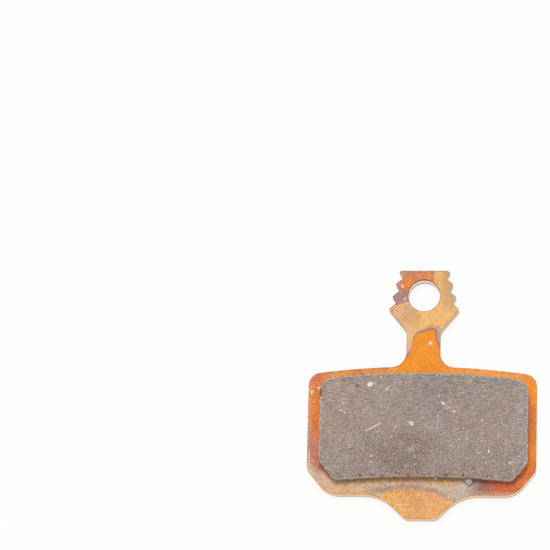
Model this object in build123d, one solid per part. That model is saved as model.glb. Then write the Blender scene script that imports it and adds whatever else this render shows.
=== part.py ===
from build123d import *
import os
from math import sqrt, tan, radians

# Bicycle disc brake pad: a stamped steel plate with a sintered friction lining bonded to it.
# Millimetres, +Z up. The pad lies on its back with the friction face up. The origin is the
# centre of the pin hole on the back face, and +Y runs from the lining to the toothed ear.

# Backing plate
plate_thickness = 1.8
edge_round = 0.12

# Hole for the retaining pin
pin_diameter = 3.9
pin_clearance = 0.1

# Toothed ear, from its top edge down
ear_height = 3.22
ear_top_inset = 0.45
ear_top_bevel = 0.15
tooth_count = 4
first_tooth_width = 6.5
tooth_pitch = 1.6
tooth_step = 0.4
tooth_depth = 0.8
tooth_tip_round = 0.25
tooth_root_round = 0.22
flank_drop = 2.83

# Neck between the ear and the body
neck_width = 4.2
neck_length = 4.54
neck_top_round = 1.2
neck_root_round = 1.9

# Body that carries the lining
body_width = 28.4
body_height = 16.28
crown_radius = 94.0
shoulder_round = 1.6
corner_cut_width = 2.55
corner_cut_height = 3.15
corner_side_round = 1.3
corner_bottom_round = 3.1

# Pull tab below the body
tab_root_width = 10.1
tab_end_width = 3.8
tab_drop = 3.0
tab_root_round = 5.2
tab_end_round = 1.3

# Friction lining, set in from the plate's edges by its rims and bonded a little off centre
lining_thickness = 2.1
lining_shift = 0.3
side_rim = 1.3
top_rim = 1.23
bottom_rim = 2.18
lining_bottom_radius = 115.0
lining_shoulder_round = 1.8
lining_cut_width = 1.9
lining_cut_height = 2.35
lining_cut_round = 1.2
lining_edge_round = 0.15

# Half-pierced dimples: bowls in the back face, bosses under the lining
dimple_diameter = 3.95
dimple_depth = 1.0
dimple_spacing_x = 14.7
dimple_spacing_y = 6.45
boss_height = 0.8

# Heights down the pad, all chained from the pin hole
pin_hole_diameter = pin_diameter + pin_clearance
first_tooth_y = ear_height - ear_top_bevel
last_tooth_y = first_tooth_y - (tooth_count - 1) * tooth_pitch
neck_top_y = last_tooth_y - flank_drop
crown_y = neck_top_y - neck_length
bottom_y = crown_y - body_height
tab_end_y = bottom_y - tab_drop
rotor_axis_y = crown_y - crown_radius
body_middle_y = (crown_y + bottom_y) / 2

# Lining edges: a top arc about the rotor axis and a flatter bottom one, between straight sides
lining_width = body_width - 2 * side_rim
lining_top_radius = crown_radius - top_rim
lining_bottom_axis_y = bottom_y + bottom_rim - lining_bottom_radius


def arc_y(radius, x, axis_y=rotor_axis_y):
    """Height at x of an arc about the rotor axis, or about another point on the centre line."""
    return axis_y + sqrt(radius ** 2 - x ** 2)


def tooth_corners():
    """Tips and roots of one side's teeth, from the top down, each with its rounding."""
    corners = []
    for index in range(tooth_count):
        tip_x = first_tooth_width / 2 + index * tooth_step
        tip_y = first_tooth_y - index * tooth_pitch
        if index > 0:
            corners.append((tip_x - tooth_step / 2 - tooth_depth, tip_y + tooth_pitch / 2, tooth_root_round))
        corners.append((tip_x, tip_y, tooth_tip_round))
    return corners


def mirrored_polygon(half):
    """Face of the points on the +X side, top to bottom, and their mirror images, facing +Z."""
    left = [(-x, y) for x, y in half]
    return Polygon(*left, *reversed(half), align=None)


def round_corners(sketch, corners):
    """Round each corner (x, y, radius) and its mirror image, no further than half its shorter edge."""
    for x, y, radius in corners:
        for side in (-1, 1):
            corner = sketch.vertices().sort_by_distance((side * x, y, 0))[0]
            first, second = [edge for edge in sketch.edges() if corner in edge.vertices()]
            opening = (first @ 0.5 - corner.center()).get_angle(second @ 0.5 - corner.center())
            longest = min(first.length, second.length) / 2 * tan(radians(opening / 2))
            sketch = fillet(corner, min(radius, longest))
    return sketch


def plate_outline():
    """Outline of the backing plate, without its pin hole."""
    teeth = tooth_corners()
    neck = neck_width / 2
    ear = [(first_tooth_width / 2 - ear_top_inset, ear_height)]
    ear += [(x, y) for x, y, _ in teeth]
    ear += [(neck, neck_top_y), (neck, body_middle_y)]

    side = body_width / 2
    cut_x = side - corner_cut_width
    cut_y = bottom_y + corner_cut_height
    body = [(side, crown_y), (side, cut_y), (cut_x, bottom_y)]
    body += [(tab_root_width / 2, bottom_y), (tab_end_width / 2, tab_end_y)]
    crown = Pos(0, rotor_axis_y) * Circle(crown_radius)

    outline = mirrored_polygon(ear) + (mirrored_polygon(body) & crown)
    return round_corners(outline, teeth + [
        (neck, neck_top_y, neck_top_round),
        (neck, arc_y(crown_radius, neck), neck_root_round),
        (side, arc_y(crown_radius, side), shoulder_round),
        (side, cut_y, corner_side_round),
        (cut_x, bottom_y, corner_bottom_round),
        (tab_root_width / 2, bottom_y, tab_root_round),
        (tab_end_width / 2, tab_end_y, tab_end_round),
    ])


def lining_outline():
    """Outline of the friction lining: two arcs between straight sides, with cut lower corners."""
    side = lining_width / 2
    cut_x = side - lining_cut_width
    low_y = arc_y(lining_bottom_radius, cut_x, lining_bottom_axis_y)
    blank = [(side, crown_y), (side, low_y + lining_cut_height), (cut_x, low_y)]
    top_arc = Pos(0, rotor_axis_y) * Circle(lining_top_radius)
    bottom_arc = Pos(0, lining_bottom_axis_y) * Circle(lining_bottom_radius)
    outline = (mirrored_polygon(blank) & top_arc) - bottom_arc
    return round_corners(outline, [
        (side, arc_y(lining_top_radius, side), lining_shoulder_round),
        (side, low_y + lining_cut_height, lining_cut_round),
        (cut_x, low_y, lining_cut_round),
    ])


def dimple_caps(height, base_z):
    """Spherical caps of one height over the dimple circle, standing on base_z at each dimple."""
    rim = dimple_diameter / 2
    ball_radius = (rim ** 2 + height ** 2) / (2 * height)
    ball = Pos(0, 0, height - ball_radius) * Sphere(ball_radius)
    cap = split(ball, bisect_by=Plane.XY, keep=Keep.TOP)
    grid = Pos(0, body_middle_y, base_z) * GridLocations(dimple_spacing_x, dimple_spacing_y, 2, 2)
    return [place * cap for place in grid]


def backing_plate():
    """Stamped plate with rounded edges, a pin hole, bowls in its back and bosses on its front."""
    rounding = min(edge_round, plate_thickness / 4, tooth_tip_round / 2)
    plate = extrude(plate_outline(), plate_thickness)
    edges_by_height = plate.edges().group_by(Axis.Z)
    plate = fillet(edges_by_height[0] + edges_by_height[-1], rounding)

    plate -= Cylinder(pin_hole_diameter / 2, 3 * plate_thickness)
    front_rim = plate.edges().sort_by_distance((0, 0, plate_thickness))[0]
    plate = fillet(front_rim, rounding)

    plate -= dimple_caps(dimple_depth, 0)
    plate += dimple_caps(boss_height, plate_thickness)
    return plate


def friction_lining():
    """Sintered block on the plate's front face, with a socket over each boss."""
    block = Pos(lining_shift, 0, plate_thickness) * extrude(lining_outline(), lining_thickness)
    top_edges = block.edges().group_by(Axis.Z)[-1]
    block = fillet(top_edges, min(lining_edge_round, lining_thickness / 4))
    return block - dimple_caps(boss_height, plate_thickness)


os.makedirs("parts", exist_ok=True)
export_step(backing_plate(), "parts/backing_plate.step")
export_step(friction_lining(), "parts/friction_lining.step")
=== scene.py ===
import math

import bmesh
import bpy
import numpy as np
from mathutils import Matrix, Vector, kdtree, noise

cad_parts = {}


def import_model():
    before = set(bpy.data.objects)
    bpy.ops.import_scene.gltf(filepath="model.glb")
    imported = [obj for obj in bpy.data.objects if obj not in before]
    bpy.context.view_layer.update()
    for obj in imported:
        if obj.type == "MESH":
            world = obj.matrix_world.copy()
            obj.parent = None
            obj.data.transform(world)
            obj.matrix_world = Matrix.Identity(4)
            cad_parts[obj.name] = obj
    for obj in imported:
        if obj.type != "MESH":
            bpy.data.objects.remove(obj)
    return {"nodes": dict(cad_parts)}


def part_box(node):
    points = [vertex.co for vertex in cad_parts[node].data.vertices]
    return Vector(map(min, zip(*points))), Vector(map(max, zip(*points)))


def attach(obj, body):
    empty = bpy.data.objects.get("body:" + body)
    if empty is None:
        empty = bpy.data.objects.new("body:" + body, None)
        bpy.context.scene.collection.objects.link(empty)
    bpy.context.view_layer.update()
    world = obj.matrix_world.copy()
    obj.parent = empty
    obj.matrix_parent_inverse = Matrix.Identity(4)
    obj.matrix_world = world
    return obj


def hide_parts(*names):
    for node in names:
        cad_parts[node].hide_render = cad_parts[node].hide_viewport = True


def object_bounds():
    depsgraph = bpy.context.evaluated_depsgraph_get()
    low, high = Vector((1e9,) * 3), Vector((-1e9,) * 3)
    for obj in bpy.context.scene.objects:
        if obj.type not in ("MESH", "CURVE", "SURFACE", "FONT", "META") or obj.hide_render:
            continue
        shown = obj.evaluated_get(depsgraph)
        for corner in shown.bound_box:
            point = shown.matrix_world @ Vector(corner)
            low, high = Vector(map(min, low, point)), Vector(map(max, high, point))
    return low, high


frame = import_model()
cad_low, cad_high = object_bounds()

MM = 0.001

# Photograph: its side and focal length, and the place and scale of the pin hole in it, in pixels
PHOTO_SIDE = 550
FOCAL_LENGTH = 4000
PIN_HOLE_AT = (424.2, 295.55)
PIXELS_PER_MM = 8.0

# View: off the plate's normal towards the tab and towards +X, and the pad's clockwise turn in the picture
VIEW_TILT = math.radians(14.5)
VIEW_YAW = math.radians(5.0)
VIEW_ROLL = math.radians(1.55)
SENSOR_MM = 36

# Height of the plate's front face, in millimetres
FRONT_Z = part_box("friction_lining")[0].z / MM

# Usual range of a noise texture
NOISE_LOW = 0.25
NOISE_HIGH = 0.75


def srgb(red, green, blue):
    """Scene-linear RGBA of a display colour given as 0 to 255."""
    channels = [value / 255 for value in (red, green, blue)]
    linear = [c / 12.92 if c <= 0.04045 else ((c + 0.055) / 1.055) ** 2.4 for c in channels]
    return (*linear, 1.0)


class Shader:
    """One material's node tree, with a short call for each kind of node that the finishes use."""

    def __init__(self, name):
        self.material = bpy.data.materials.new(name)
        self.material.use_nodes = True
        self.nodes = self.material.node_tree.nodes
        self.links = self.material.node_tree.links
        self.surface = self.nodes["Principled BSDF"]

    def plug(self, socket, value):
        """Link a socket to another, or set its value."""
        if isinstance(value, bpy.types.NodeSocket):
            self.links.new(value, socket)
        else:
            socket.default_value = value

    def add(self, kind, inputs=(), **settings):
        """New node with its settings and its inputs, given as (socket, value) pairs."""
        node = self.nodes.new("ShaderNode" + kind)
        for name, value in settings.items():
            setattr(node, name, value)
        for socket, value in inputs:
            self.plug(node.inputs[socket], value)
        return node

    def math(self, operation, *values):
        return self.add("Math", enumerate(values), operation=operation).outputs[0]

    def times(self, *values):
        """Product of the values."""
        total = values[0]
        for value in values[1:]:
            total = self.math("MULTIPLY", total, value)
        return total

    def step(self, value, low, high):
        """0 at low, 1 at high and smooth between, whichever of the two is larger."""
        ends = [("Value", value), ("From Min", low), ("From Max", high)]
        return self.add("MapRange", ends, interpolation_type="SMOOTHSTEP").outputs[0]

    def band(self, value, low, high, soft):
        """1 between low and high and 0 beyond, with soft ends."""
        rise = self.step(value, low - soft, low + soft)
        fall = self.step(value, high + soft, high - soft)
        return self.times(rise, fall)

    def scaled(self, value, from_low, from_high, to_low, to_high):
        """Value moved from one range to another, and kept inside it."""
        ends = enumerate((value, from_low, from_high, to_low, to_high))
        return self.add("MapRange", ends).outputs[0]

    def between(self, share, first, second):
        """Number between first, at a share of 0, and second, at 1."""
        return self.scaled(share, 0, 1, first, second)

    def varied(self, grain, low, high):
        """Number that follows a noise from low to high."""
        return self.scaled(grain, NOISE_LOW, NOISE_HIGH, low, high)

    def curve(self, value, points):
        """Smooth curve through given (value, result) points."""
        xs, ys = zip(*points)
        low, high = min(ys), max(ys)
        node = self.add("FloatCurve", [("Value", self.scaled(value, xs[0], xs[-1], 0, 1))])
        line = node.mapping.curves[0]
        for index, (x, y) in enumerate(points):
            place = ((x - xs[0]) / (xs[-1] - xs[0]), (y - low) / (high - low))
            if index in (0, len(points) - 1):
                line.points[0 if index == 0 else -1].location = place
            else:
                line.points.new(*place)
        node.mapping.update()
        return self.scaled(node.outputs[0], 0, 1, low, high)

    def tones(self, value, stops):
        """Colours blended through (value, colour) stops, lowest value first."""
        low, high = stops[0][0], stops[-1][0]
        node = self.add("ValToRGB", [("Fac", self.scaled(value, low, high, 0, 1))])
        elements = node.color_ramp.elements
        while len(elements) < len(stops):
            elements.new(1.0)
        for element, (place, colour) in zip(elements, stops):
            element.position = (place - low) / (high - low)
            element.color = colour
        return node.outputs[0]

    def mix(self, share, first, second, blend="MIX"):
        """Colour between first and second, or of the two blended."""
        node = self.add("Mix", data_type="RGBA", blend_type=blend)
        sockets = [socket for socket in node.inputs if socket.enabled]
        for socket, value in zip(sockets, (share, first, second)):
            self.plug(socket, value)
        return [socket for socket in node.outputs if socket.enabled][0]

    def paint(self, under, colour, *shares):
        """Colour laid over another, at the product of the shares."""
        return self.mix(self.times(*shares), under, colour)

    def wash(self, under, tint, *shares):
        """Colour multiplied by a tint, at the product of the shares."""
        return self.mix(self.times(*shares), under, tint, "MULTIPLY")

    def lift(self, colour, value):
        """Colour made lighter or darker by a factor."""
        return self.add("HueSaturation", [("Color", colour), ("Value", value)]).outputs[0]

    def grained(self, colour, grain, depth):
        """Colour made lighter and darker by a noise, more so with depth."""
        return self.lift(colour, self.math("MULTIPLY_ADD", self.math("SUBTRACT", grain, 0.5), depth, 1.0))

    def noise(self, vector, scale, detail=2.0, roughness=0.5):
        settings = [("Vector", vector), ("Scale", scale), ("Detail", detail), ("Roughness", roughness)]
        return self.add("TexNoise", settings).outputs["Fac"]

    def dots(self, vector, scale, share, radius):
        """Soft dots at a share of scattered points: scale in points a millimetre, radius in spacings."""
        node = self.add("TexVoronoi", [("Vector", vector), ("Scale", scale)])
        chance = self.add("SeparateColor", [("Color", node.outputs["Color"])]).outputs[0]
        chosen = self.step(chance, self.math("SUBTRACT", 1.0, share), 1.0)
        return self.times(self.step(node.outputs["Distance"], radius, 0.1 * radius), chosen)

    def stretched(self, vector, scale, turn=0.0):
        """Coordinates turned about Z and scaled, for grain that runs one way."""
        settings = [("Vector", vector), ("Angle", -turn)]
        spun = self.add("VectorRotate", settings, rotation_type="Z_AXIS").outputs[0]
        return self.add("VectorMath", [(0, spun), (1, scale)], operation="MULTIPLY").outputs[0]

    def turned(self, vector, turn):
        """Coordinates turned about Z, for a pattern unlike the one at another turn."""
        return self.stretched(vector, (1, 1, 1), turn)

    def position(self):
        """Object position in millimetres, as a vector and as x, y and z."""
        place = self.add("TexCoord").outputs["Object"]
        vector = self.add("VectorMath", [(0, place), ("Scale", 1 / MM)], operation="SCALE").outputs[0]
        return vector, *self.add("SeparateXYZ", [(0, vector)]).outputs

    def normal_z(self):
        """How far the surface faces up: 1 on the front, 0 on the walls and -1 on the back."""
        direction = self.add("TexCoord").outputs["Normal"]
        return self.add("SeparateXYZ", [(0, direction)]).outputs[2]

    def attribute(self, name):
        """Number kept on the mesh's vertices."""
        return self.add("Attribute", attribute_name=name).outputs["Fac"]

    def wander(self, vector, size, reach, turn):
        """Smooth random offset up to reach, over features of a size."""
        return self.varied(self.noise(self.turned(vector, turn), 1 / size), -reach, reach)

    def oval(self, x, y, centre, radii, turn=0.0):
        """1 at an ellipse's centre, 0 at its outline and below 0 outside it."""
        across = self.math("SUBTRACT", x, centre[0])
        up = self.math("SUBTRACT", y, centre[1])
        offset = self.add("CombineXYZ", [(0, across), (1, up)]).outputs[0]
        share = self.stretched(offset, (1 / radii[0], 1 / radii[1], 1), turn)
        length = self.add("VectorMath", [(0, share)], operation="LENGTH").outputs["Value"]
        return self.math("SUBTRACT", 1.0, length)

    def stroke(self, x, y, start, end):
        """Distance to a straight stroke between two points."""
        run = Vector(end) - Vector(start)
        across = self.math("SUBTRACT", x, start[0])
        up = self.math("SUBTRACT", y, start[1])
        dot = self.math("MULTIPLY_ADD", across, run.x, self.times(up, run.y))
        along = self.math("MAXIMUM", self.math("DIVIDE", dot, run.length_squared), 0.0)
        along = self.math("MINIMUM", along, 1.0)
        off_x = self.math("MULTIPLY_ADD", along, -run.x, across)
        off_y = self.math("MULTIPLY_ADD", along, -run.y, up)
        squares = self.math("MULTIPLY_ADD", off_x, off_x, self.times(off_y, off_y))
        return self.math("SQRT", squares)

    def bump(self, height, depth_mm, normal=None):
        """Normal tilted by a height, over another normal if one is given."""
        settings = [("Height", height), ("Distance", depth_mm * MM), ("Strength", 1.0)]
        if normal is not None:
            settings.append(("Normal", normal))
        return self.add("Bump", settings).outputs[0]

    def finish(self, **values):
        """Set or link the Principled sockets, named with underscores for spaces."""
        for name, value in values.items():
            self.plug(self.surface.inputs[name.replace("_", " ")], value)
        return self.material


# Temper colours of the heated steel
STRAW = srgb(240, 188, 120)
WARM_STRAW = srgb(238, 188, 142)
TAN = srgb(216, 171, 124)
ORANGE = srgb(243, 152, 54)
COPPER = srgb(228, 133, 61)
PALE_COPPER = srgb(231, 153, 86)
PALE_ORANGE = srgb(248, 164, 80)
BRICK = srgb(217, 126, 77)
RUST = srgb(198, 106, 71)
ROSE = srgb(198, 127, 107)
PLUM = srgb(167, 112, 104)
MAUVE = srgb(174, 142, 129)
SILVER = srgb(196, 177, 158)
CREAM = srgb(207, 172, 140)
PEARL = srgb(206, 181, 157)
GILT = srgb(201, 169, 127)
PEACH = srgb(224, 180, 138)
DULL_PEACH = srgb(222, 172, 134)

# Marks on the plate's body: scale and mottling at the top edge, a painted highlight on the edge at the
# lower left
EDGE_SCALE = srgb(156, 92, 70)
MOTTLING = srgb(196, 110, 66)
EDGE_HIGHLIGHT = srgb(224, 194, 158)

# Marks on the ear: brushed streaks, then those in the rust stain and in the mauve one, with painted shade
# along the ear's top edge
DARK_STREAK = srgb(178, 134, 94)
PALE_STREAK = srgb(242, 202, 152)
RUST_GLOW = srgb(240, 148, 70)
RUST_CLOUD = srgb(206, 128, 106)
FADED_RUST = srgb(186, 138, 122)
EAR_TOP_SHADE = srgb(150, 120, 98)
BLUE_BLOTCH = srgb(166, 146, 148)
PLUM_BLOTCH = srgb(174, 118, 112)
PALE_MAUVE = srgb(226, 206, 200)

# Marks all over the front: grain, specks, lines on the tab, spots, painted shadow at the lining's foot and
# flecks
REDDISH = srgb(255, 240, 226)
DUST = srgb(255, 222, 178)
TAB_LINE = srgb(255, 228, 184)
DARK_SPOT = srgb(150, 84, 46)
FOOT_SHADOW = srgb(100, 62, 40)
PALE_FLECK = srgb(255, 232, 212)

# Bare steel: sheared edge, torn towards the back, dull and worn edges, a dark line on the rolled edges that
# is partly painted shade, a dark dotted line on the pin hole's upper rim, and plated back
SHEARED = srgb(245, 210, 166)
TORN_EDGE = srgb(202, 180, 160)
DULL_EDGE = srgb(222, 198, 174)
WORN_EDGE = srgb(213, 185, 159)
ROLLED_EDGE_SHADE = srgb(134, 88, 56)
HOLE_RIM_LINE = srgb(72, 50, 36)
BACK_GOLD = srgb(249, 223, 174)

# Places in the finishes are in millimetres from the pin hole: x across, y towards the ear, z over the back

# Edges that the colours follow: middle, height there and radius
CROWN = (0.0, -9.1, 94.0)
LINING_BOTTOM = (0.3, -23.2, 115.0)

# Tones down the plate's two sides: height and colour
LEFT_SIDE = [
    (-24.5, CREAM), (-23.2, PEARL), (-22.5, srgb(201, 173, 159)), (-21.5, ROSE), (-19.2, ROSE),
    (-17.6, srgb(224, 134, 90)), (-16.6, BRICK), (-15.6, COPPER), (-13, COPPER), (-11.9, BRICK),
    (-9, BRICK),
]
RIGHT_SIDE = [
    (-24.2, RUST), (-22.4, srgb(214, 118, 64)), (-21, COPPER), (-19.8, srgb(238, 146, 66)),
    (-18.5, COPPER), (-16.5, srgb(221, 127, 72)), (-14.5, COPPER), (-12.3, srgb(249, 148, 59)),
    (-11.3, ORANGE), (-9, ORANGE),
]

# The left side's tones slope down towards the lining: where that ends, where they are at their own heights,
# and how steep they are
SLOPE_END = -12.8
SLOPE_MIDDLE = -13.2
SLOPE = 1.5

# Tones along the strips over and under the lining: place across and colour
TOP_STRIP = [
    (-14, srgb(212, 116, 70)), (-12.6, srgb(214, 120, 74)), (-11.6, PALE_COPPER), (-5.8, PALE_COPPER),
    (-3.8, PALE_ORANGE), (-2.4, ORANGE), (2.6, ORANGE), (4.2, PALE_ORANGE), (11.5, PALE_ORANGE),
    (14, COPPER),
]
BOTTOM_STRIP = [
    (-12.4, srgb(205, 174, 146)), (-10.4, CREAM), (-9, CREAM), (-6, srgb(193, 172, 148)), (-4, SILVER),
    (3.6, SILVER), (5.2, srgb(199, 185, 171)), (6.3, srgb(178, 156, 143)), (7.5, srgb(152, 109, 104)),
    (9.4, RUST), (11.5, RUST), (13, BRICK),
]

# Tab: height of the arc at each place across, tones of the haze over it and of the amber under it
TAB_ARC = [
    (-8, -25.3), (-6, -25.05), (-5, -24.93), (-4, -24.76), (-3, -24.63), (-2, -24.55), (-1, -24.53),
    (0, -24.62), (1, -24.85), (2, -25.2), (3, -25.65), (4, -26.2), (5, -26.8),
]
ARC_HAZE = [(0.05, srgb(180, 141, 122)), (0.4, srgb(169, 141, 130))]
AMBER = [
    (-4, srgb(234, 166, 80)), (-0.5, srgb(225, 160, 100)), (1.5, srgb(228, 161, 98)),
    (4, srgb(234, 161, 90)),
]

# Neck: the orange tongue's top at each place across, its right flank at each height, and its border's
# tones by the distance outside it, which counts for more where the border is tight
TONGUE_TOP = [
    (-3, -9.5), (-2, -7.9), (-1.5, -6.95), (-1.36, -6.2), (-1.2, -5.54), (-0.9, -5.05), (-0.6, -4.88),
    (-0.3, -4.78), (0.35, -4.6), (1, -4.44), (1.5, -4.42), (3, -4.4),
]
TONGUE_FLANK = [(-9, 3.4), (-7.6, 2.25), (-6.8, 2.02), (-6.2, 1.87), (-5.6, 1.64), (-5, 1.5), (-3, 1.5)]
TIGHTNESS = [(-3, 0.8), (-1.5, 1.2), (-0.6, 1.7), (0.3, 1.25), (1, 0.9), (1.6, 1.1), (3, 1.0)]
TONGUE_BORDER = [
    (-0.3, ORANGE), (-0.1, srgb(240, 148, 64)), (0.0, BRICK), (0.09, srgb(172, 106, 88)),
    (0.2, srgb(186, 143, 129)), (0.38, srgb(203, 169, 153)), (0.56, srgb(200, 162, 134)),
]

# Ear: direction of the brushing, height of the mauve stain's lower border, and the stains' tones by height
BRUSHING = math.radians(47)
MAUVE_BORDER = [(-4.4, -1.35), (-3.3, -1.2), (-2.6, -0.98), (-2, -0.85), (0, -0.8)]
EAR_STAIN = [
    (-1.3, PLUM), (-0.95, MAUVE), (0.3, MAUVE), (0.55, ROSE), (1.1, srgb(220, 132, 86)),
    (2.0, srgb(222, 136, 92)), (2.6, srgb(221, 141, 102)), (2.95, ROSE), (3.2, CREAM),
]

# Painted light: how much lighter the front is at each height, most beside the lining, where its shade falls
FRONT_PAINTED_LIGHT = [
    (-28, 1.09), (-25.3, 1.05), (-24.2, 1.26), (-22.6, 1.12), (-10, 1.11), (-8.5, 1.06), (-4, 1.05),
    (4, 1.02),
]

# Pale flecks on the plate: centre and radius
PLATE_FLECKS = [
    ((0.95, -6.15), 0.36),
    ((-2.7, 1.2), 0.24),
    ((-2.4, -0.45), 0.18),
    ((-13.75, -12.45), 0.28),
    ((-12.9, -12.0), 0.26),
]

# Painted shadow along the lining's foot: its drop below the bottom edge, half of that edge, and the cut
# lower corners
FOOT_DROP = 0.15
BOTTOM_HALF = 10.8
CORNER_CUTS = [((-12.4, -21.9), (-10.7, -23.75)), ((12.8, -22.0), (11.3, -23.75))]

# Wall of the pin hole and bowls in the back: tones by height over the back, and a radius round the wall.
# The wall's tones are painted light and shade, near white in the middle and dark at both rims; the bowls'
# are their oxide with painted shade, darkest at the rim
BORE_LIGHT_AND_SHADE = [
    (0.1, srgb(150, 112, 82)), (0.5, srgb(236, 206, 178)), (0.8, srgb(255, 238, 218)),
    (1.4, srgb(255, 232, 208)), (1.7, srgb(150, 108, 78)),
]
BORE_RADIUS = 2.5
BOWL_OXIDE_AND_SHADE = [
    (0.1, srgb(112, 84, 50)), (0.45, srgb(146, 114, 74)), (0.75, srgb(212, 182, 132)),
    (1.0, srgb(240, 212, 162)),
]


def edge_height(s, x, edge):
    """Height at x of a flat arc that is highest at its middle."""
    middle, top, radius = edge
    off = s.math("SUBTRACT", x, middle)
    return s.math("MULTIPLY_ADD", s.times(off, off), -0.5 / radius, top)


def side_tones(s, x, y):
    """Bands down the two sides of the lining, with a worn edge on the left and a painted highlight at its
    lower end.
    """
    inward = s.math("SUBTRACT", s.math("MINIMUM", x, SLOPE_END), SLOPE_MIDDLE)
    slanted = s.math("MULTIPLY_ADD", inward, SLOPE, y)
    sides = s.mix(s.step(x, -6, 0), s.tones(slanted, LEFT_SIDE), s.tones(y, RIGHT_SIDE))
    wear_and_highlight = s.between(s.step(y, -19.6, -20.9), 0.3, 0.95)
    sides = s.paint(sides, WORN_EDGE, s.step(x, -13.7, -13.95), wear_and_highlight)
    # Painted highlight on the lower left edge
    edge_highlight = s.step(s.oval(x, y, (-13.75, -22.7), (0.55, 0.95)), 0.0, 0.7)
    return s.paint(sides, EDGE_HIGHLIGHT, edge_highlight, 0.7)


def body_tones(s, place, x, y):
    """Colours round the lining: its two sides, and the strips over and under it."""
    body = s.mix(s.step(y, -11.9, -10.6), side_tones(s, x, y), s.tones(x, TOP_STRIP))
    depth = s.math("SUBTRACT", edge_height(s, x, CROWN), y)
    patchy = s.step(s.noise(place, 1.5, 3, 0.7), 0.46, 0.6)
    share = s.math("MAXIMUM", s.times(s.step(x, -2.7, -3.6), 0.85), s.times(s.step(x, 2.7, 4.5), 0.4))
    body = s.paint(body, EDGE_SCALE, s.band(depth, -0.1, 0.22, 0.1), patchy, share)
    mottled = s.step(s.noise(place, 1.0, 3, 0.7), 0.5, 0.62)
    body = s.paint(body, MOTTLING, s.step(depth, 1.2, 0.8), s.step(x, -3, -5), mottled, 0.6)
    return s.mix(s.step(y, -22.8, -23.6), body, s.tones(x, BOTTOM_STRIP))


def tab_tones(s, x, y, under):
    """Gilt band along the lining, a mauve arc over the amber tab, and lighter lower edges beside it."""
    below = s.math("SUBTRACT", edge_height(s, x, LINING_BOTTOM), y)
    reach = s.math("MULTIPLY_ADD", s.step(x, 0, 2), -0.22, below)
    colour = s.paint(under, GILT, s.band(reach, -0.6, 0.8, 0.2), s.band(x, -10.4, 5, 0.9), 0.9)

    above = s.math("SUBTRACT", y, s.curve(x, TAB_ARC))
    haze = s.times(s.band(above, -0.2, 0.42, 0.22), s.band(x, -6.4, 4.4, 0.8))
    colour = s.paint(colour, s.tones(above, ARC_HAZE), haze, 0.9)
    left_end = s.math("MULTIPLY_ADD", y, 0.7, 13.2)
    amber = s.step(s.math("SUBTRACT", x, left_end), -0.9, 0.5)
    colour = s.paint(colour, s.tones(x, AMBER), s.step(above, 0.04, -0.5), amber)
    colour = s.paint(colour, PEACH, s.band(x, -12.5, -6.5, 0.9), s.step(y, -24.5, -24.9), 0.85)
    return s.paint(colour, DULL_PEACH, s.step(x, 6, 8), s.step(y, -24.7, -25.1), 0.45)


def neck_tones(s, x, y, under):
    """Orange tongue up the neck inside a plum line and a lilac border, which end above the fillets."""
    over = s.times(s.math("SUBTRACT", y, s.curve(x, TONGUE_TOP)), s.curve(x, TIGHTNESS))
    outside = s.math("MAXIMUM", over, s.math("SUBTRACT", x, s.curve(y, TONGUE_FLANK)))
    outside = s.math("MINIMUM", outside, s.scaled(y, -7.9, -7.3, -0.04, 0.8))
    beyond = s.mix(s.step(x, -1.2, -1.7), STRAW, WARM_STRAW)
    neck = s.mix(s.step(outside, 0.46, 0.8), s.tones(outside, TONGUE_BORDER), beyond)
    return s.mix(s.step(y, -9.3, -8.4), under, neck)


def brushed_tones(s, place, x, y, under):
    """Tan patches on the straw ear, with streaks and hairlines from brushing."""
    right = s.times(s.step(x, 1.8, 2.7), s.step(y, -2.4, -0.6))
    brushed = s.times(s.step(x, 0.0, -1.2), s.band(y, -3.9, -1.2, 0.5))
    left = s.times(brushed, s.between(s.step(x, -3.2, -2.2), 0.3, 0.8))
    colour = s.paint(under, TAN, s.math("MAXIMUM", right, left))

    streaks = s.noise(s.stretched(place, (0.12, 4.6, 1), BRUSHING), 1.0, 2, 0.6)
    colour = s.paint(colour, DARK_STREAK, brushed, s.step(streaks, 0.55, 0.64), 0.6)
    colour = s.paint(colour, PALE_STREAK, brushed, s.step(streaks, 0.43, 0.35), 0.5)
    hairs = s.noise(s.stretched(place, (1.0, 7.5, 1), BRUSHING), 1.0, 2, 0.6)
    depth = s.times(s.step(y, -5.5, -4.5), s.between(s.step(x, 0.8, -0.8), 0.25, 0.55))
    return s.grained(colour, hairs, depth)


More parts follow.
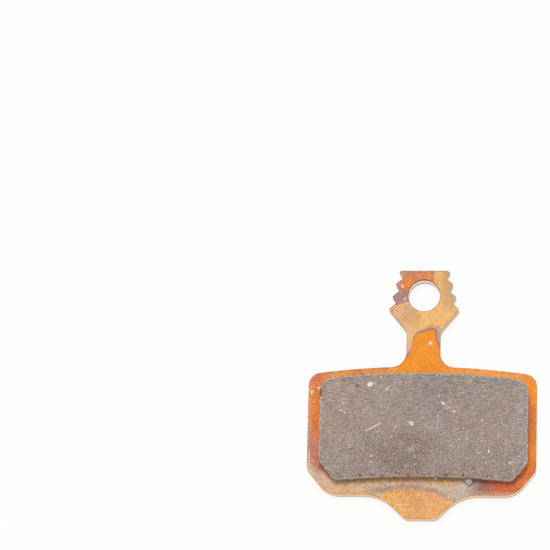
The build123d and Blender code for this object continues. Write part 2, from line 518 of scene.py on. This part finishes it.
def stain_tones(s, place, x, y, under):
    """Rust stain over the pin hole and a mauve one beside it."""
    over_border = s.math("SUBTRACT", y, s.curve(x, MAUVE_BORDER))
    mauve = s.times(s.step(x, -1.3, -1.6), s.step(over_border, -0.06, 0.08))
    rust = s.times(s.step(x, 1.24, 1.12), s.step(y, 0.42, 0.7))
    colour = s.paint(under, s.tones(y, EAR_STAIN), s.math("MAXIMUM", mauve, rust))

    # Glow and clouds in the rust, faded at its left end and at the ear's top, and painted shade along the
    # top edge
    glow = s.math("MAXIMUM", s.oval(x, y, (-2.2, 1.7), (0.8, 0.9)), s.oval(x, y, (0.2, 2.75), (0.8, 0.6)))
    colour = s.paint(colour, RUST_GLOW, s.step(glow, 0.0, 0.8), 0.8, rust)
    clouds = s.step(s.noise(place, 1.7, 2, 0.6), 0.5, 0.68)
    colour = s.paint(colour, RUST_CLOUD, rust, clouds, 0.45)
    colour = s.paint(colour, FADED_RUST, rust, s.step(x, -2.6, -3.1), 0.7)
    corner = s.step(s.oval(x, y, (-2.9, 3.1), (1.1, 0.8)), 0.0, 0.7)
    colour = s.paint(colour, CREAM, corner, 0.75)
    # Painted shade along the ear's top edge
    colour = s.paint(colour, EAR_TOP_SHADE, s.step(y, 2.98, 3.14), 0.6)

    # Plum and blue blotches and pale specks in the mauve
    mauve = s.times(mauve, s.step(y, 0.7, 0.4))
    blotches = s.noise(place, 2.2, 2)
    colour = s.paint(colour, BLUE_BLOTCH, mauve, s.step(blotches, 0.52, 0.66))
    colour = s.paint(colour, PLUM_BLOTCH, mauve, s.step(blotches, 0.48, 0.36), 0.9)
    return s.paint(colour, PALE_MAUVE, mauve, s.dots(place, 4, 0.7, 0.5), 0.6)


def front_grain(s, place, x, y, front, body, calm):
    """Painted broad light beside the lining and on the strip right of it, and blotches, then grain:
    roughest on the left of the body and finer where calm.
    """
    # Painted light beside the lining and on the strip right of it, where the lining's shade falls
    front = s.lift(front, s.curve(y, FRONT_PAINTED_LIGHT))
    front = s.lift(front, s.between(s.step(x, 12.6, 13.2), 1.0, 1.055))
    front = s.lift(front, s.varied(s.noise(place, 0.9, 3, 0.6), 0.94, 1.06))

    stained = s.times(s.step(x, 1.4, 1.0), s.step(y, 0.2, 0.7))
    smooth = s.times(s.step(y, -9.2, -7.8), s.between(stained, 1.0, 0.0))
    lower_left = s.times(s.step(x, -6, -8), s.step(y, -22.4, -23.4))
    rough = s.between(body, s.between(smooth, 1.0, 0.6), 1.9)
    for share, factor in ((calm, 0.55), (stained, 1.5), (lower_left, 0.8)):
        rough = s.times(rough, s.between(share, 1.0, factor))
    speckle = s.noise(place, 7, 2, 0.6)
    front = s.grained(front, speckle, rough)
    return s.wash(front, REDDISH, s.step(speckle, 0.52, 0.35), 0.6)


def lining_foot(s, x, y):
    """Distance to the lining's foot along its bottom edge and cut corners."""
    off_middle = s.math("ABSOLUTE", s.math("SUBTRACT", x, LINING_BOTTOM[0]))
    beyond = s.math("MAXIMUM", s.math("SUBTRACT", off_middle, BOTTOM_HALF), 0.0)
    below = s.math("SUBTRACT", edge_height(s, x, LINING_BOTTOM), y)
    gap = s.math("ABSOLUTE", s.math("SUBTRACT", below, FOOT_DROP))
    nearest = s.math("ADD", gap, beyond)
    for start, end in CORNER_CUTS:
        nearest = s.math("MINIMUM", nearest, s.stroke(x, y, start, end))
    return nearest


def front_marks(s, place, x, y, front, body, tab, corner):
    """Specks, crooked pale lines all over the tab, dark spots, painted shadow at the lining's foot and pale
    flecks.
    """
    dusty = s.math("MAXIMUM", corner, s.times(s.step(x, -11.5, -12.5), s.step(y, -23, -21), 0.6))
    specks = s.dots(place, 6.0, s.between(dusty, 0.3, 0.75), 0.7)
    front = s.paint(front, DUST, specks, s.between(dusty, 0.3, 0.7))
    crooked = s.band(s.noise(place, 4.4, 1), 0.48, 0.54, 0.02)
    crooked = s.times(crooked, s.scaled(s.noise(place, 0.7, 2), 0.38, 0.62, 0.3, 1.0))
    front = s.paint(front, TAB_LINE, crooked, tab)
    front = s.paint(front, DARK_SPOT, s.dots(place, 3.4, 0.25, 0.5), s.between(body, 0.05, 0.2))

    # Painted contact shadow along the lining's foot, uneven and weaker to the right
    foot_shadow = s.step(lining_foot(s, x, y), 0.5, 0.08)
    uneven = s.scaled(s.noise(place, 1.6, 2), 0.3, 0.7, 0.2, 0.5)
    front = s.paint(front, FOOT_SHADOW, foot_shadow, uneven, s.between(s.step(x, 7, 9.5), 1.0, 0.5))
    for centre, radius in PLATE_FLECKS:
        spot = s.step(s.oval(x, y, centre, (radius, radius)), 0.0, 0.8)
        front = s.paint(front, PALE_FLECK, spot, 0.95)
    return front


def front_tones(s, place, x, y):
    """Tempered front of the plate, from the body up to the ear, with its grain and marks."""
    front = tab_tones(s, x, y, body_tones(s, place, x, y))
    front = neck_tones(s, x, y, front)
    front = brushed_tones(s, place, x, y, front)
    front = stain_tones(s, place, x, y, front)
    body = s.times(s.step(y, -8.5, -11), s.between(s.step(x, 5, -2), 0.45, 1.0))
    tab = s.times(s.step(y, -24.7, -25.4), s.step(x, -6.5, -5))
    corner = s.times(s.step(x, -9, -12), s.step(y, -13.5, -12))
    front = front_grain(s, place, x, y, front, body, s.math("MAXIMUM", tab, corner))
    return front_marks(s, place, x, y, front, body, tab, corner)


def edge_tones(s, place, y, z, bore):
    """Sheared edges, duller round the ear and torn towards the back, and the pin hole's wall with painted
    light and shade.
    """
    edge = s.mix(s.step(y, -8, -14), DULL_EDGE, SHEARED)
    edge = s.paint(edge, TORN_EDGE, s.step(z, 0.8, 0.25), 0.75)
    # Painted light and shade on the pin hole's wall
    edge = s.paint(edge, s.tones(z, BORE_LIGHT_AND_SHADE), bore)
    shear = s.noise(s.stretched(place, (9, 9, 1.2)), 1.0, 2)
    return s.lift(edge, s.varied(shear, 0.93, 1.05))


def back_tones(s, place, z):
    """Pale gold back with fine grain, and bowls with a dark rim and a light floor: their brown oxide with
    painted shade.
    """
    back = s.lift(BACK_GOLD, s.varied(s.noise(place, 0.35, 4, 0.6), 0.95, 1.03))
    back = s.lift(back, s.varied(s.noise(place, 7, 2, 0.6), 0.95, 1.05))
    # The bowls' oxide, with painted shade darkest at the rim
    bowl = s.lift(s.tones(z, BOWL_OXIDE_AND_SHADE), s.varied(s.noise(place, 5, 2, 0.6), 0.85, 1.12))
    return s.mix(s.step(z, 0.03, 0.12), back, bowl)


def plate_finish():
    """Heat-tinted steel: tempered front, sheared edges and a pale gold back."""
    s = Shader("heat_tinted_steel")
    place, x, y, z = s.position()
    facing = s.normal_z()

    # Uneven borders: each place is looked up a little off its own
    x = s.math("ADD", x, s.math("ADD", s.wander(place, 1.1, 0.1, 0.0), s.wander(place, 0.22, 0.05, 0.4)))
    y = s.math("ADD", y, s.math("ADD", s.wander(place, 1.1, 0.1, 1.3), s.wander(place, 0.22, 0.05, 2.1)))
    bore = s.step(s.oval(x, y, (0, 0), (BORE_RADIUS, BORE_RADIUS)), 0.0, 0.08)
    on_front = s.step(facing, 0.3, 0.75)
    colour = s.mix(on_front, edge_tones(s, place, y, z, bore), front_tones(s, place, x, y))

    # Dark line on the rolled front edges, partly painted shade on their rounding, and a dark dotted line on
    # the pin hole's upper rim
    rolled_shade = s.times(s.band(facing, 0.62, 0.94, 0.04), s.step(s.noise(place, 2.6, 2), 0.36, 0.54))
    colour = s.paint(colour, ROLLED_EDGE_SHADE, rolled_shade, 0.72)
    hole_rim_line = s.times(bore, s.band(facing, 0.2, 0.96, 0.04), s.step(y, 1.0, 1.6), s.step(x, -1.4, -0.7))
    colour = s.paint(colour, HOLE_RIM_LINE, hole_rim_line, s.step(s.noise(place, 3.2, 2), 0.42, 0.56), 0.85)
    colour = s.paint(colour, back_tones(s, place, z), s.step(facing, -0.35, -0.8))

    metallic = s.between(on_front, s.between(bore, 0.8, 1.0), 0.3)
    roughness = s.scaled(s.noise(place, 4, 3), 0.3, 0.7, 0.45, 0.62)
    pebble = s.bump(s.noise(place, 6, 3, 0.65), 0.012)
    brush = s.noise(s.stretched(place, (0.2, 4, 1), BRUSHING), 1.0, 3, 0.6)
    lined = s.bump(s.times(brush, s.step(y, -4.7, -3.9), s.step(x, 0.5, -1)), 0.012, pebble)
    return s.finish(
        Base_Color=colour, Roughness=roughness, Metallic=metallic, Specular_IOR_Level=0.05, Normal=lined
    )


# Tones of the lining's grain and of its crumbs, by a noise
LINING_GRAIN = [
    (0.26, srgb(104, 89, 80)), (0.42, srgb(145, 127, 115)), (0.5, srgb(160, 142, 130)),
    (0.58, srgb(174, 156, 145)), (0.74, srgb(223, 210, 202)),
]
CRUMB_GREY = [(0.3, srgb(166, 158, 158)), (0.7, srgb(206, 198, 198))]

# Broad tints, which the grain's colours are multiplied by
GREY_TINT = srgb(234, 244, 255)
WARM_TINT = srgb(255, 242, 232)
COOL_TINT = srgb(240, 245, 255)
DARK_TINT = srgb(234, 227, 224)
RUSSET_TINT = srgb(255, 238, 224)

# Single grains and marks, painted shade in pits, then the rim with its painted highlight, the sides with
# painted shade at their foot, and painted shade in a gap beside them
PALE_GRAIN = srgb(236, 227, 222)
PALE_LUMP = srgb(222, 212, 206)
DARK_GRAIN = srgb(100, 84, 76)
HAZE_GREY = srgb(191, 191, 195)
FLECK_WHITE = srgb(244, 236, 228)
SCRATCH_WHITE = srgb(238, 227, 220)
PIT_SHADE = srgb(72, 58, 48)
RIM_PIT = srgb(92, 80, 76)
RIM_GRAIN = srgb(232, 223, 214)
RIM_HIGHLIGHT = srgb(226, 213, 192)
SIDE_TAUPE = srgb(152, 134, 122)
CRUST = srgb(226, 208, 192)
WALL_FOOT_SHADE = srgb(96, 66, 48)
GAP_SHADE = srgb(70, 52, 42)

# Down the friction face: share of coarse grain, share of pale grains and how much lighter it is
COARSE_SHARE = [(-24, 0.24), (-18, 0.12), (-10, 0.05)]
PALE_SHARE = [(-24, 0.44), (-18, 0.34), (-13, 0.19), (-10, 0.2)]
FACE_LIGHT = [(-24, 0.92), (-21, 0.98), (-18, 1.03), (-14, 1.07), (-10, 1.08)]

# Flecks and hazes on the friction face: centre, half sizes, turn and strength
FLECKS = [
    ((-6.36, -11.86), (0.4, 0.28), 0.4, 0.95),
    ((-6.58, -12.02), (0.18, 0.15), 0.0, 0.92),
    ((-1.3, -16.72), (0.36, 0.12), -0.08, 0.9),
    ((-1.1, -16.9), (0.2, 0.2), 0.3, 0.9),
    ((2.72, -14.25), (0.28, 0.17), -0.5, 0.95),
    ((8.42, -20.25), (0.15, 0.20), 0.3, 0.95),
    ((11.05, -21.65), (0.22, 0.12), -0.2, 0.8),
    ((-6.03, -20.97), (0.20, 0.12), 0.0, 0.8),
    ((-5.68, -20.8), (0.12, 0.10), 0.0, 0.6),
    ((-9.98, -15.25), (0.19, 0.11), 0.0, 0.75),
    ((-9.5, -15.5), (0.14, 0.13), 0.0, 0.7),
    ((4.08, -15.27), (0.19, 0.13), 0.1, 0.95),
    ((3.4, -14.8), (0.18, 0.10), 0.4, 0.55),
    ((7.53, -16.38), (0.13, 0.11), 0.0, 0.75),
    ((2.07, -17.43), (0.11, 0.10), 0.0, 0.7),
    ((-3.1, -17.22), (0.16, 0.10), 0.0, 0.65),
    ((6.42, -10.83), (0.12, 0.10), 0.0, 0.7),
    ((-5.0, -10.95), (0.12, 0.13), 0.0, 0.45),
    ((2.1, -15.8), (0.14, 0.10), 0.0, 0.55),
    ((5.75, -18.65), (0.18, 0.10), 0.8, 0.55),
    ((3.85, -19.57), (0.16, 0.11), 0.0, 0.5),
    ((-3.65, -18.55), (0.19, 0.10), 0.5, 0.5),
    ((-1.07, -22.25), (0.12, 0.10), 0.0, 0.8),
    ((7.3, -20.5), (0.14, 0.11), 0.0, 0.55),
    ((2.15, -13.4), (0.11, 0.18), 0.4, 0.55),
]
HAZES = [
    ((-1.05, -19.98), (0.85, 0.50), 0.6, 0.8),
    ((-1.8, -22.2), (0.40, 0.28), 0.0, 0.55),
    ((2.1, -16.5), (0.24, 0.75), -0.1, 0.7),
    ((1.2, -17.3), (0.45, 0.38), 0.4, 0.8),
    ((11.7, -21.6), (0.70, 0.70), -0.5, 0.47),
    ((-8.6, -19.2), (0.38, 0.75), -0.2, 0.65),
    ((4.75, -22.1), (0.70, 0.40), -0.6, 0.4),
    ((-9.2, -21.2), (0.65, 0.38), 0.4, 0.55),
    ((7.6, -18.2), (0.28, 0.36), 0.0, 0.43),
    ((-2.5, -19.2), (0.34, 0.45), 0.0, 0.55),
    ((8.0, -14.2), (0.60, 0.32), 0.0, 0.36),
    ((-4.4, -19.5), (0.26, 0.45), 0.2, 0.55),
    ((0.3, -16.0), (0.24, 0.24), 0.0, 0.65),
    ((12.75, -20.2), (0.30, 1.60), 0.0, 0.43),
    ((3.1, -14.65), (0.40, 0.50), 0.3, 0.5),
]

# Scratches: start, end and half width
SCRATCHES = [
    ((-6.85, -17.75), (-6.3, -17.52), 0.09),
    ((-6.3, -17.52), (-5.6, -17.15), 0.11),
    ((-5.6, -17.15), (-5.02, -16.85), 0.10),
    ((-4.4, -12.65), (-4.02, -12.12), 0.09),
]

# Painted shade in a gap at the lining's left edge: start and end
SHADED_EDGE_GAP = ((-12.58, -12.35), (-12.58, -13.3))


def lining_tints(s, place, x, y, rim, colour):
    """Broad tints: greyer at the top and right, browner in patches, darker towards the tab."""
    cool_rim = s.times(s.step(rim, 0.9, 0.3), s.math("MAXIMUM", s.step(y, -13, -11.5), s.step(x, 11, 12.5)))
    grey = s.times(s.step(s.noise(place, 0.28, 2), 0.4, 0.58), s.step(x, -6, 2), s.step(y, -18, -14))
    warm = s.step(s.noise(s.stretched(place, (1, 1.4, 1), 0.8), 0.4, 2), 0.45, 0.7)
    cool = s.step(s.noise(s.stretched(place, (1, 1.2, 1), 2.3), 0.55, 3, 0.6), 0.5, 0.66)
    shade = s.step(s.oval(x, y, (-2.2, -20.4), (6, 4)), 0.0, 0.7)
    russet = s.step(s.oval(x, y, (5.8, -22.5), (1.8, 0.9)), 0.0, 0.7)
    colour = s.wash(colour, GREY_TINT, s.math("MAXIMUM", cool_rim, grey), 0.9)
    colour = s.wash(colour, WARM_TINT, warm, 0.65)
    colour = s.wash(colour, COOL_TINT, cool, 0.6)
    colour = s.wash(colour, DARK_TINT, shade)
    colour = s.wash(colour, RUSSET_TINT, russet, 0.8)
    colour = s.lift(colour, s.curve(y, FACE_LIGHT))
    colour = s.lift(colour, s.between(s.step(x, 11.8, 12.5), 1.0, 1.12))
    return s.lift(colour, s.scaled(s.noise(place, 0.8, 2), 0.3, 0.7, 0.93, 1.07))


def lining_grains(s, place, y, upper, colour):
    """Clusters of pale grains, thickest towards the tab, with larger lumps and dark grains."""
    clusters = s.scaled(s.noise(place, 0.65, 3, 0.6), 0.35, 0.65, 0.3, 1.6)
    pale = s.dots(place, 5.4, s.times(s.curve(y, PALE_SHARE), clusters), 0.55)
    colour = s.paint(colour, PALE_GRAIN, pale, 0.85)
    lumps = s.dots(s.stretched(place, (1, 1.3, 1), 0.3), 2.4, 0.3, 0.35)
    colour = s.paint(colour, PALE_LUMP, lumps, s.between(upper, 0.6, 0.15))
    deep = s.dots(s.turned(place, 0.6), 4.4, 0.3, 0.5)
    return s.paint(colour, DARK_GRAIN, deep, s.between(upper, 0.6, 0.35))


def lining_marks(s, x, y, fine, coarse, colour):
    """Hazes, flecks and scratches, with borders broken up by the grain."""
    ragged = s.varied(coarse, -0.7, 0.7)
    flaked = s.between(s.step(fine, 0.4, 0.6), 0.35, 1.1)
    for centre, radii, turn, strength in HAZES:
        inside = s.math("ADD", s.oval(x, y, centre, radii, turn), ragged)
        colour = s.paint(colour, HAZE_GREY, s.step(inside, -0.2, 0.9), flaked, strength)
    for centre, radii, turn, strength in FLECKS:
        inside = s.math("ADD", s.oval(x, y, centre, radii, turn), s.times(ragged, 0.4))
        colour = s.paint(colour, FLECK_WHITE, s.step(inside, -0.1, 0.4), strength)
    for start, end, width in SCRATCHES:
        near = s.step(s.stroke(x, y, start, end), width, 0.3 * width)
        colour = s.paint(colour, SCRATCH_WHITE, near, 0.85)
    return colour


def lining_rim(s, place, y, z, facing, rim, fine, colour):
    """Pitted edge of the friction face, with a painted highlight on its rounded rim in the upper part."""
    near = s.times(s.step(rim, 0.75, 0.3), s.step(z, 2.8, 3.5))
    colour = s.paint(colour, RIM_PIT, near, s.dots(s.turned(place, 1.1), 4.2, 0.5, 0.6), 0.7)
    colour = s.paint(colour, RIM_GRAIN, near, s.dots(s.turned(place, 2.0), 4.6, 0.6, 0.55), 0.8)
    # Painted highlight on the rounded rim
    wear_and_highlight = s.times(s.step(rim, 0.28, 0.1), s.step(facing, 0.3, 0.6), s.step(fine, 0.44, 0.58))
    return s.paint(colour, RIM_HIGHLIGHT, wear_and_highlight, s.step(y, -23, -21), 0.75)


def lining_sides(s, y, z, facing, coarse, colour):
    """Plain sides, painted lighter to stand in for light, most towards the tab, crusted halfway down there,
    and with painted shade at the foot.
    """
    side = s.step(facing, 0.6, 0.2)
    tab_side = s.step(y, -20.5, -22)
    colour = s.paint(colour, SIDE_TAUPE, side, s.between(tab_side, 0.5, 0.0))
    # Painted light on the walls, most on the tab side
    colour = s.lift(colour, s.between(side, 1.0, s.between(tab_side, 1.1, 1.6)))
    crust = s.times(s.band(z, 2.3, 3.1, 0.25), s.step(coarse, 0.42, 0.58), tab_side)
    colour = s.paint(colour, CRUST, side, crust, 0.5)
    # Painted shade at the walls' foot
    return s.paint(colour, WALL_FOOT_SHADE, side, s.step(z, 2.5, 1.9), s.scaled(coarse, 0.35, 0.65, 0.3, 0.9))


def lining_finish():
    """Ground sintered metal: taupe matrix, pale and dark grains, grinding lines and a few marks."""
    s = Shader("sintered_metal")
    place, x, y, z = s.position()
    facing = s.normal_z()
    rim = s.attribute("rim_distance")

    # Grain, drawn along X by grinding and down the walls by pressing, and coarser towards the tab
    place = s.stretched(place, (1, 1, 0.45))
    fine = s.noise(s.stretched(place, (6, 9.5, 8)), 1.0, 1, 0.5)
    coarse = s.noise(place, 3.2, 2, 0.6)
    lines = s.noise(s.stretched(place, (1.1, 9.5, 8)), 1.0, 2, 0.6)
    upper = s.step(y, -20, -15)
    drawn = s.math("SUBTRACT", s.between(s.times(upper, 0.5), fine, lines), 0.5)
    drawn = s.math("MULTIPLY_ADD", drawn, s.between(upper, 1.2, 1.35), 0.5)
    grain = s.between(s.curve(y, COARSE_SHARE), drawn, coarse)

    colour = s.tones(grain, LINING_GRAIN)
    colour = lining_tints(s, place, x, y, rim, colour)
    colour = lining_grains(s, place, y, upper, colour)
    colour = lining_marks(s, x, y, fine, coarse, colour)
    # Painted shade in the pits and chipped edges, by how hollow each place is
    colour = s.paint(colour, PIT_SHADE, s.attribute("hollow"), 0.85)
    colour = lining_rim(s, place, y, z, facing, rim, fine, colour)
    colour = lining_sides(s, y, z, facing, coarse, colour)
    # Painted shade in the gap at the lining's left edge
    gap = s.times(s.step(s.stroke(x, y, *SHADED_EDGE_GAP), 0.22, 0.1), s.step(z, 3.0, 3.6))
    colour = s.paint(colour, GAP_SHADE, gap, 0.85)
    colour = s.paint(colour, s.tones(grain, CRUMB_GREY), s.attribute("crumb"))

    roughness = s.scaled(s.noise(place, 5, 2), 0.3, 0.7, 0.6, 0.85)
    bumps = s.bump(s.math("ADD", fine, s.times(coarse, 0.6)), 0.03)
    return s.finish(Base_Color=colour, Roughness=roughness, Specular_IOR_Level=0.35, Normal=bumps)


# Mesh of the lining, in millimetres: its spacing, and how far its top may rise over the CAD face
VOXEL = 0.1
TOP_ALLOWANCE = 0.01

# Grain: size, depth, and how much deeper it is on the walls
GRAIN = 0.32
GRAIN_DEPTH = 0.022
WALL_GRAIN = 1.8

# Crumbled upper edge: reach from the rim, size and depth of its chips
CHIP_REACH = 0.45
CHIP_SIZE = 0.45
CHIP_DEPTH = 0.28

# Uneven walls: length and depth of their waves
WAVE = 0.55
WAVE_DEPTH = 0.1

# Pits: centre and radius of the placed ones, the number, radii and seed of the scattered ones, and the
# radius from which a pit is fully dark
PITS = [
    ((-7.95, -12.1), 0.17),
    ((3.3, -23.2), 0.22),
    ((3.02, -23.33), 0.16),
    ((5.22, -23.3), 0.16),
    ((5.45, -21.9), 0.14),
    ((-12.5, -12.65), 0.15),
    ((-12.48, -13.0), 0.16),
    ((-12.46, -13.35), 0.12),
]
PIT_COUNT = 30
PIT_RADII = (0.07, 0.13)
PIT_SEED = 7
DARK_PIT = 0.15

# Crumbs on the lining's lower wall: centre and radius, then the size and height of their lumps in radii
CRUMBS = [
    ((5.93, -23.72, 2.35), 0.43),
    ((1.87, -23.36, 2.3), 0.22),
]
LUMP_SIZE = 0.6
LUMP_HEIGHT = 0.25


def grained_copy(node, name):
    """Even, fine mesh of a CAD node, as a new object."""
    source = frame["nodes"][node]
    copy = bpy.data.objects.new(name, source.data.copy())
    bpy.context.scene.collection.objects.link(copy)
    remesh = copy.modifiers.new("remesh", "REMESH")
    remesh.mode = "VOXEL"
    remesh.voxel_size = VOXEL * MM
    graph = bpy.context.evaluated_depsgraph_get()
    copy.data = bpy.data.meshes.new_from_object(copy.evaluated_get(graph))
    copy.modifiers.clear()
    copy.data.name = name
    return copy


def read_vectors(items, key):
    """One vector of each item, as rows."""
    flat = np.zeros(len(items) * 3, np.float32)
    items.foreach_get(key, flat)
    return flat.reshape(-1, 3).astype(float)


def noise_at(points, size, seed):
    """Smooth noise, about -1 to 1, at each point, with features of the given size."""
    shift = Vector((seed * 17.3, seed * 9.1, seed * 5.7))
    return np.array([noise.noise(Vector(p) / size + shift) for p in points])


def distance_to_walls(points, walls):
    """Distance in plan from each point to the nearest point of the block's sides."""
    tree = kdtree.KDTree(int(walls.sum()))
    for index, (px, py, _) in enumerate(points[walls]):
        tree.insert((px, py, 0), index)
    tree.balance()
    return np.array([tree.find((px, py, 0))[2] for px, py, _ in points])


def keep_values(mesh, name, values):
    """Keep one number a vertex for the finish to read."""
    layer = mesh.attributes.new(name, "FLOAT", "POINT")
    layer.data.foreach_set("value", values.astype(np.float32))


def add_crumbs(mesh):
    """Join lumpy beads to the block, after its own vertices."""
    grown = bmesh.new()
    grown.from_mesh(mesh)
    for place, radius in CRUMBS:
        centre = Vector(place)
        bead = bmesh.ops.create_icosphere(grown, subdivisions=4, radius=radius)["verts"]
        for vertex in bead:
            lump = noise.noise(vertex.co / (LUMP_SIZE * radius) + centre)
            vertex.co = (centre + vertex.co * (1 + LUMP_HEIGHT * lump)) * MM
    grown.to_mesh(mesh)
    grown.free()


def rough_lift(points, side, tab_side):
    """Lift of each point by the grain, and by waves on the walls that are deepest towards the tab."""
    grain = noise_at(points, GRAIN, 1) * 0.6 + noise_at(points, GRAIN * 0.6, 2) * 0.4
    waves = noise_at(points * (1, 1, 0.3), WAVE, 4) * WAVE_DEPTH * tab_side * side
    return grain * GRAIN_DEPTH * np.where(side, WALL_GRAIN, 1.0) + waves


def chipped_share(points, rim, tab_side, top_z):
    """How far each point of the upper edge has crumbled, from 0 to 1 and most towards the tab."""
    near_rim = np.clip(1 - rim / CHIP_REACH, 0, 1) * (points[:, 2] > top_z - CHIP_REACH)
    return near_rim * np.clip(noise_at(points, CHIP_SIZE, 3) * 1.4, 0, 1) * tab_side


def all_pits(low, high):
    """Centre and radius of the placed pits and of a seeded scatter of small ones."""
    rng = np.random.default_rng(PIT_SEED)
    scatter = [(rng.uniform(low[:2], high[:2]), rng.uniform(*PIT_RADII)) for _ in range(PIT_COUNT)]
    return PITS + scatter


def lining_piece():
    """Friction lining with a granular surface, chipped edges, pits and two crumbs on its lower wall."""
    piece = grained_copy("friction_lining", "sintered_lining")
    points = read_vectors(piece.data.vertices, "co") / MM
    normals = read_vectors(piece.data.vertex_normals, "vector")
    low, high = (np.array(corner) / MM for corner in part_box("friction_lining"))
    level = np.abs(normals[:, 2])
    walls = (level < 0.3) & (points[:, 2] > low[2] + 0.6 * (high[2] - low[2]))
    rim = distance_to_walls(points, walls)
    exposed = points[:, 2] > low[2] + VOXEL
    top = points[:, 2] > high[2] - 5 * VOXEL
    tab_side = np.clip((low[1] + 3 - points[:, 1]) / 2, 0.3, 1)

    lift = rough_lift(points, level < 0.5, tab_side) * exposed
    chips = chipped_share(points, rim, tab_side, high[2])
    lift -= chips * CHIP_DEPTH
    hollow = np.clip(chips * 1.2 - 0.2, 0, 1) * 0.6
    for (px, py), radius in all_pits(low, high):
        sunk = np.clip(1.4 - np.hypot(points[:, 0] - px, points[:, 1] - py) / radius, 0, 1) * top
        lift -= 0.5 * radius * sunk
        hollow = np.maximum(hollow, sunk * min(1, radius / DARK_PIT))

    moved = points + normals * lift[:, None]
    moved[:, 2] = np.minimum(moved[:, 2], high[2] + TOP_ALLOWANCE)
    piece.data.vertices.foreach_set("co", (moved * MM).astype(np.float32).ravel())
    keep_values(piece.data, "rim_distance", rim)
    keep_values(piece.data, "hollow", hollow)
    add_crumbs(piece.data)
    keep_values(piece.data, "crumb", np.arange(len(piece.data.vertices)) >= len(points))
    piece.data.polygons.foreach_set("use_smooth", np.ones(len(piece.data.polygons), bool))
    piece.data.update()
    piece.data.materials.clear()
    piece.data.materials.append(lining_finish())
    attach(piece, "root")
    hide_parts("friction_lining")


def dress_plate():
    """Give the CAD plate its finish."""
    plate = frame["nodes"]["backing_plate"]
    plate.data.materials.clear()
    plate.data.materials.append(plate_finish())


# Floor: its side and its drop below the pad in metres, its tone, and how far it is white by itself
FLOOR_SIDE = 6.0
FLOOR_DROP = 0.00001
FLOOR_TONE = (0.96, 0.96, 0.96, 1.0)
FLOOR_GLOW = 0.88
WHITE = (1.0, 1.0, 1.0, 1.0)


def seen_directly(nodes, links):
    """1 on rays from the camera, or seen in metal or glass."""
    path = nodes.new("ShaderNodeLightPath")
    total = path.outputs["Is Camera Ray"]
    for name in ("Is Glossy Ray", "Is Transmission Ray"):
        either = nodes.new("ShaderNodeMath")
        either.operation = "MAXIMUM"
        links.new(total, either.inputs[0])
        links.new(path.outputs[name], either.inputs[1])
        total = either.outputs[0]
    return total


def floor():
    """Plain white floor that keeps the pad's soft shadow."""
    bpy.ops.mesh.primitive_plane_add(size=FLOOR_SIDE, location=(0, 0, cad_low.z - FLOOR_DROP))
    plane = bpy.context.object
    plane.name = "floor"
    s = Shader("floor_white")
    s.finish(Base_Color=FLOOR_TONE, Roughness=0.9)
    glow = s.add("Emission", [("Color", WHITE), ("Strength", 1.0)]).outputs[0]
    share = s.times(seen_directly(s.nodes, s.links), FLOOR_GLOW)
    mixed = s.add("MixShader", [(0, share), (1, s.surface.outputs[0]), (2, glow)]).outputs[0]
    s.links.new(mixed, s.nodes["Material Output"].inputs["Surface"])
    plane.data.materials.append(s.material)


# Light: strength of the surroundings, then the lamp's strength, direction, and distance and width in metres
WORLD_LIGHT = 0.55
KEY_LIGHT = 0.42
KEY_ELEVATION = math.radians(76)
KEY_AZIMUTH = math.radians(-12)
KEY_DISTANCE = 0.7
KEY_WIDTH = 0.24


def world():
    """Even white surroundings, white to the camera."""
    sky = bpy.data.worlds.new("studio")
    bpy.context.scene.world = sky
    sky.use_nodes = True
    nodes, links = sky.node_tree.nodes, sky.node_tree.links
    strength = nodes.new("ShaderNodeMapRange")
    strength.inputs["To Min"].default_value = WORLD_LIGHT
    links.new(seen_directly(nodes, links), strength.inputs["Value"])
    links.new(strength.outputs[0], nodes["Background"].inputs["Strength"])
    nodes["Background"].inputs["Color"].default_value = WHITE


def key_light():
    """Soft lamp beyond the ear, which lays the lining's shadow towards the tab."""
    lamp = bpy.data.lights.new("key", "AREA")
    lamp.shape = "DISK"
    lamp.size = KEY_WIDTH
    lamp.energy = KEY_LIGHT * math.pi ** 2 * KEY_DISTANCE ** 2 / math.sin(KEY_ELEVATION)
    holder = bpy.data.objects.new("key", lamp)
    bpy.context.scene.collection.objects.link(holder)
    flat = math.cos(KEY_ELEVATION)
    ray = Vector((math.sin(KEY_AZIMUTH) * flat, math.cos(KEY_AZIMUTH) * flat, math.sin(KEY_ELEVATION)))
    middle = (cad_low + cad_high) / 2
    holder.location = middle + ray * KEY_DISTANCE
    holder.rotation_euler = ray.to_track_quat("Z", "Y").to_euler()
    holder.visible_camera = False
    holder.visible_glossy = False


def camera():
    """Long lens at the photograph's viewing angle, with the pin hole at its place in the frame."""
    lens = bpy.data.cameras.new("camera")
    lens.sensor_width = SENSOR_MM
    lens.lens = SENSOR_MM * FOCAL_LENGTH / PHOTO_SIDE
    lens.clip_start = 0.01
    lens.clip_end = 20
    holder = bpy.data.objects.new("camera", lens)
    bpy.context.scene.collection.objects.link(holder)
    turn = Matrix.Identity(3)
    for angle, axis in ((VIEW_ROLL, "Z"), (VIEW_YAW, "Y"), (VIEW_TILT, "X")):
        turn = turn @ Matrix.Rotation(angle, 3, axis)
    across = (PIN_HOLE_AT[0] - PHOTO_SIDE / 2) / PIXELS_PER_MM
    down = (PIN_HOLE_AT[1] - PHOTO_SIDE / 2) / PIXELS_PER_MM
    away = FOCAL_LENGTH / PIXELS_PER_MM
    eye = Vector((0, 0, FRONT_Z)) - turn @ Vector((across, -down, -away))
    holder.matrix_world = Matrix.Translation(eye * MM) @ turn.to_4x4()
    bpy.context.scene.camera = holder


dress_plate()
lining_piece()
floor()
world()
key_light()
camera()
bpy.context.scene.view_settings.view_transform = "Standard"
